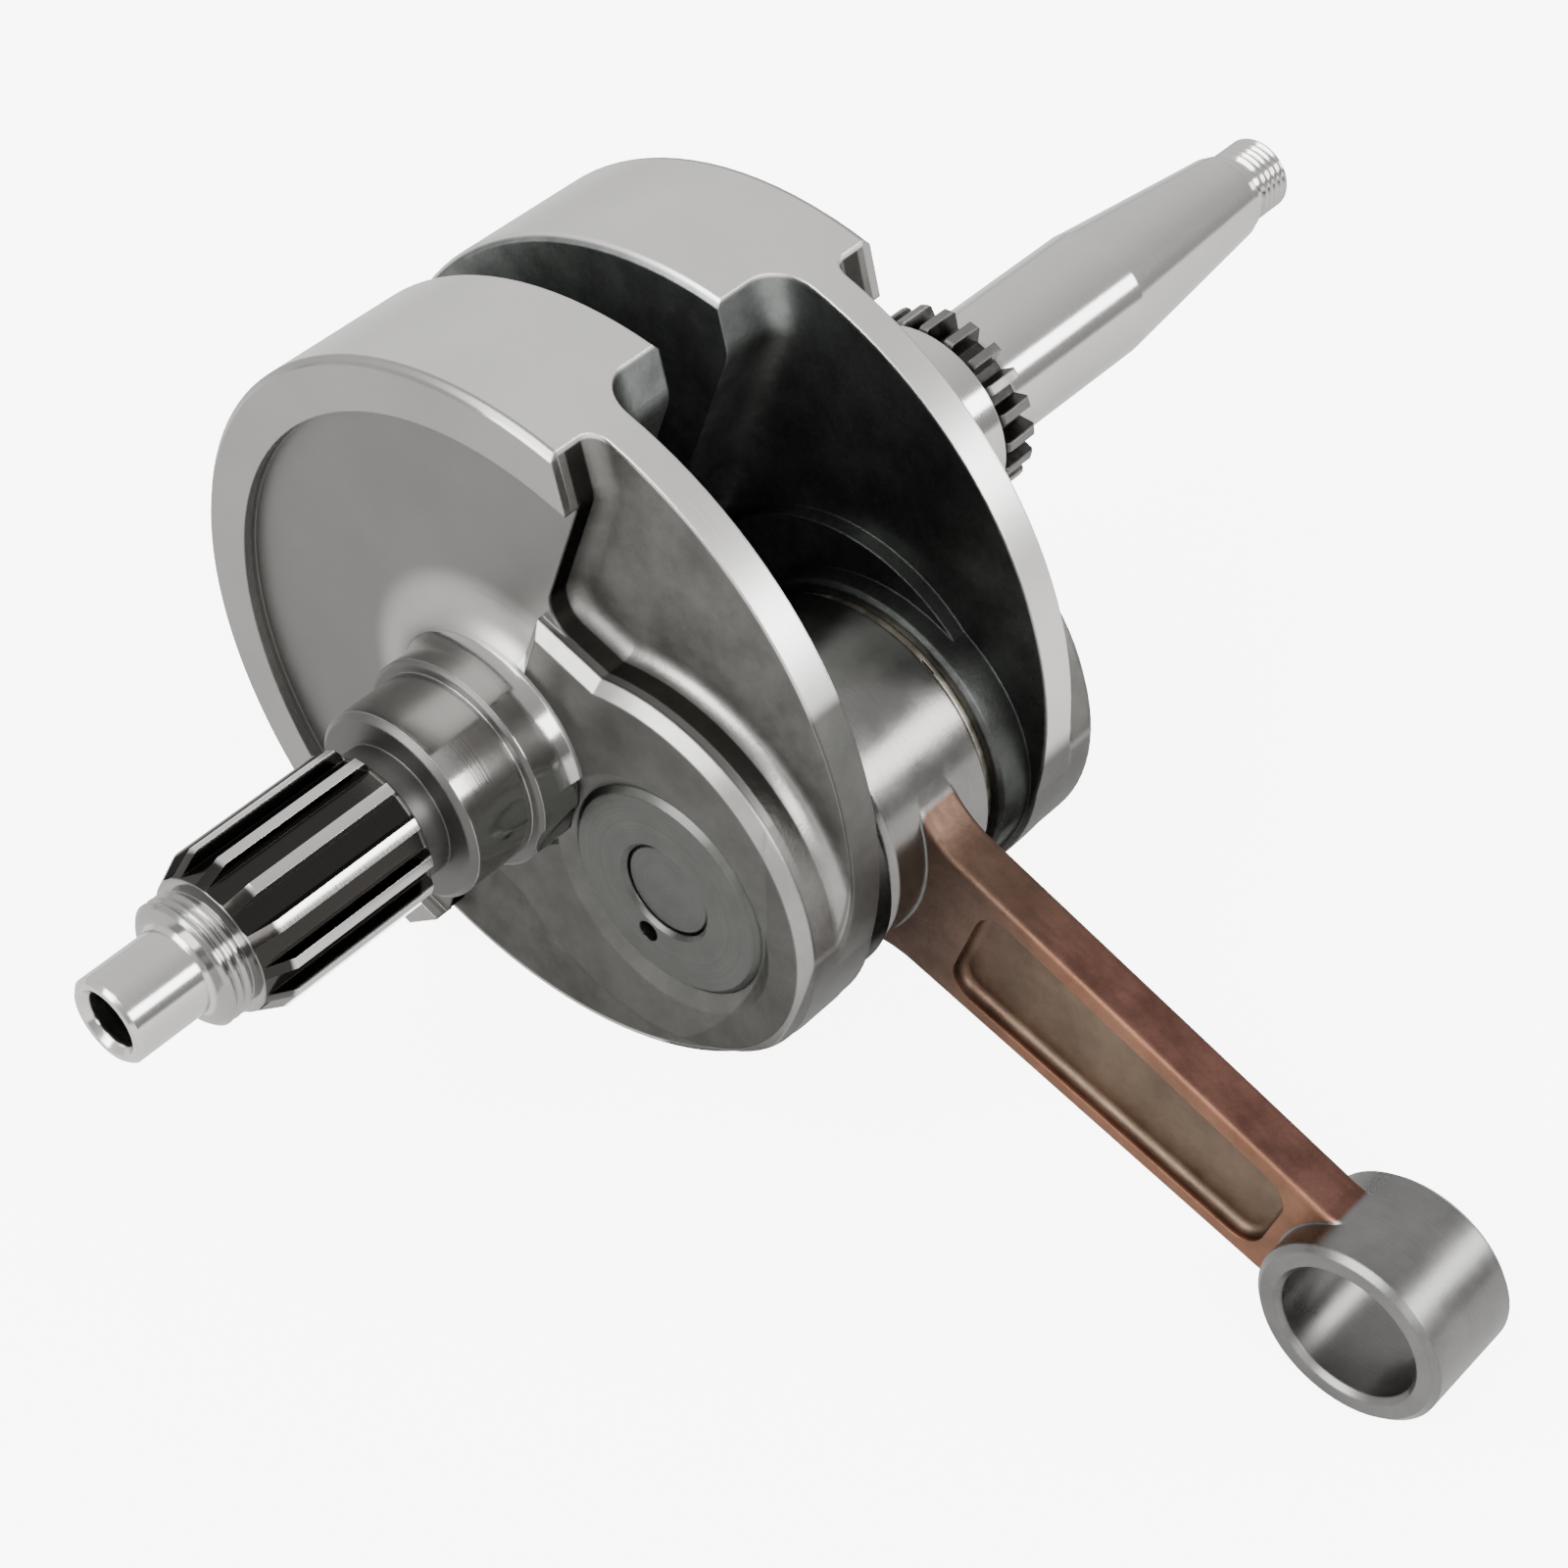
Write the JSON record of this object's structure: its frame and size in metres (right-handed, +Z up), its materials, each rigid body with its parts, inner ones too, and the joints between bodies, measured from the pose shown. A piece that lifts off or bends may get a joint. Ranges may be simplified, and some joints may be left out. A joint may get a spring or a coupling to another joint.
{
  "type": "crankshaft assembly",
  "caption": "Built-up crankshaft of a single-cylinder four-stroke engine: two webs with counterweights, splined and tapered shafts, crank pin, roller big end and connecting rod.",
  "frame": {"origin": "on the crank axis at the middle plane of the connecting rod", "axes": "+X along the crank axis from the splined drive end to the tapered flywheel end, +Z up as the assembly lies on its webs and small end"},
  "size_m": [0.2381, 0.1937, 0.11],
  "materials": {
    "forged_steel": "forged and turned steel, satin, ground bright on the journals",
    "pin_steel": "ground bearing steel",
    "plug_steel": "pressed steel plug",
    "gear_steel": "hardened gear steel, dark satin",
    "key_steel": "plain bright key steel",
    "rod_steel": "forged steel, copper plated shank with machined bright ends",
    "cage_steel": "silver plated cage",
    "roller_steel": "polished bearing steel",
    "washer_steel": "ground thrust washer"
  },
  "bodies": {
    "crank": {"drive_side_crank_half": "forged_steel", "flywheel_side_crank_half": "forged_steel", "crank_pin": "pin_steel", "pin_plug_drive_side": "plug_steel", "pin_plug_flywheel_side": "plug_steel", "cam_drive_gear": "gear_steel", "woodruff_key": "key_steel"},
    "rod": {"connecting_rod": "rod_steel"},
    "cage": {"big_end_cage": "cage_steel"},
    "washer_drive_side": {"thrust_washer_drive_side": "washer_steel"},
    "washer_flywheel_side": {"thrust_washer_flywheel_side": "washer_steel"},
    "roller_01": {"big_end_roller_01": "roller_steel"},
    "roller_02": {"big_end_roller_02": "roller_steel"},
    "roller_03": {"big_end_roller_03": "roller_steel"},
    "roller_04": {"big_end_roller_04": "roller_steel"},
    "roller_05": {"big_end_roller_05": "roller_steel"},
    "roller_06": {"big_end_roller_06": "roller_steel"},
    "roller_07": {"big_end_roller_07": "roller_steel"},
    "roller_08": {"big_end_roller_08": "roller_steel"},
    "roller_09": {"big_end_roller_09": "roller_steel"},
    "roller_10": {"big_end_roller_10": "roller_steel"},
    "roller_11": {"big_end_roller_11": "roller_steel"},
    "roller_12": {"big_end_roller_12": "roller_steel"},
    "roller_13": {"big_end_roller_13": "roller_steel"},
    "roller_14": {"big_end_roller_14": "roller_steel"},
    "roller_15": {"big_end_roller_15": "roller_steel"},
    "roller_16": {"big_end_roller_16": "roller_steel"}
  },
  "joints": [
    {"name": "rod_swing", "type": "hinge", "parent": "crank", "child": "rod", "pos_m": [0, -0.0294, -0.00984], "axis": [1, 0, 0], "continuous": true},
    {"name": "cage_turn", "type": "hinge", "parent": "crank", "child": "cage", "pos_m": [0, -0.0294, -0.00984], "axis": [1, 0, 0], "continuous": true},
    {"name": "washer_drive_side_turn", "type": "hinge", "parent": "crank", "child": "washer_drive_side", "pos_m": [0, -0.0294, -0.00984], "axis": [1, 0, 0], "continuous": true},
    {"name": "washer_flywheel_side_turn", "type": "hinge", "parent": "crank", "child": "washer_flywheel_side", "pos_m": [0, -0.0294, -0.00984], "axis": [1, 0, 0], "continuous": true},
    {"name": "roller_01_spin", "type": "hinge", "parent": "cage", "child": "roller_01", "pos_m": [0, -0.01163, -0.00984], "axis": [1, 0, 0], "continuous": true},
    {"name": "roller_02_spin", "type": "hinge", "parent": "cage", "child": "roller_02", "pos_m": [0, -0.01299, -0.00304], "axis": [1, 0, 0], "continuous": true},
    {"name": "roller_03_spin", "type": "hinge", "parent": "cage", "child": "roller_03", "pos_m": [0, -0.01684, 0.00273], "axis": [1, 0, 0], "continuous": true},
    {"name": "roller_04_spin", "type": "hinge", "parent": "cage", "child": "roller_04", "pos_m": [0, -0.0226, 0.00658], "axis": [1, 0, 0], "continuous": true},
    {"name": "roller_05_spin", "type": "hinge", "parent": "cage", "child": "roller_05", "pos_m": [0, -0.0294, 0.00793], "axis": [1, 0, 0], "continuous": true},
    {"name": "roller_06_spin", "type": "hinge", "parent": "cage", "child": "roller_06", "pos_m": [0, -0.0362, 0.00658], "axis": [1, 0, 0], "continuous": true},
    {"name": "roller_07_spin", "type": "hinge", "parent": "cage", "child": "roller_07", "pos_m": [0, -0.04196, 0.00273], "axis": [1, 0, 0], "continuous": true},
    {"name": "roller_08_spin", "type": "hinge", "parent": "cage", "child": "roller_08", "pos_m": [0, -0.04581, -0.00304], "axis": [1, 0, 0], "continuous": true},
    {"name": "roller_09_spin", "type": "hinge", "parent": "cage", "child": "roller_09", "pos_m": [0, -0.04716, -0.00984], "axis": [1, 0, 0], "continuous": true},
    {"name": "roller_10_spin", "type": "hinge", "parent": "cage", "child": "roller_10", "pos_m": [0, -0.04581, -0.01663], "axis": [1, 0, 0], "continuous": true},
    {"name": "roller_11_spin", "type": "hinge", "parent": "cage", "child": "roller_11", "pos_m": [0, -0.04196, -0.0224], "axis": [1, 0, 0], "continuous": true},
    {"name": "roller_12_spin", "type": "hinge", "parent": "cage", "child": "roller_12", "pos_m": [0, -0.0362, -0.02625], "axis": [1, 0, 0], "continuous": true},
    {"name": "roller_13_spin", "type": "hinge", "parent": "cage", "child": "roller_13", "pos_m": [0, -0.0294, -0.0276], "axis": [1, 0, 0], "continuous": true},
    {"name": "roller_14_spin", "type": "hinge", "parent": "cage", "child": "roller_14", "pos_m": [0, -0.0226, -0.02625], "axis": [1, 0, 0], "continuous": true},
    {"name": "roller_15_spin", "type": "hinge", "parent": "cage", "child": "roller_15", "pos_m": [0, -0.01684, -0.0224], "axis": [1, 0, 0], "continuous": true},
    {"name": "roller_16_spin", "type": "hinge", "parent": "cage", "child": "roller_16", "pos_m": [0, -0.01299, -0.01663], "axis": [1, 0, 0], "continuous": true}
  ],
  "couplings": [
    {"joint": "cage_turn", "follows": "rod_swing", "ratio": 0.54968},
    {"joint": "washer_drive_side_turn", "follows": "rod_swing", "ratio": 0.5},
    {"joint": "washer_flywheel_side_turn", "follows": "rod_swing", "ratio": 0.5},
    {"joint": "roller_01_spin", "follows": "rod_swing", "ratio": 5.0256},
    {"joint": "roller_02_spin", "follows": "rod_swing", "ratio": 5.0256},
    {"joint": "roller_03_spin", "follows": "rod_swing", "ratio": 5.0256},
    {"joint": "roller_04_spin", "follows": "rod_swing", "ratio": 5.0256},
    {"joint": "roller_05_spin", "follows": "rod_swing", "ratio": 5.0256},
    {"joint": "roller_06_spin", "follows": "rod_swing", "ratio": 5.0256},
    {"joint": "roller_07_spin", "follows": "rod_swing", "ratio": 5.0256},
    {"joint": "roller_08_spin", "follows": "rod_swing", "ratio": 5.0256},
    {"joint": "roller_09_spin", "follows": "rod_swing", "ratio": 5.0256},
    {"joint": "roller_10_spin", "follows": "rod_swing", "ratio": 5.0256},
    {"joint": "roller_11_spin", "follows": "rod_swing", "ratio": 5.0256},
    {"joint": "roller_12_spin", "follows": "rod_swing", "ratio": 5.0256},
    {"joint": "roller_13_spin", "follows": "rod_swing", "ratio": 5.0256},
    {"joint": "roller_14_spin", "follows": "rod_swing", "ratio": 5.0256},
    {"joint": "roller_15_spin", "follows": "rod_swing", "ratio": 5.0256},
    {"joint": "roller_16_spin", "follows": "rod_swing", "ratio": 5.0256}
  ]
}
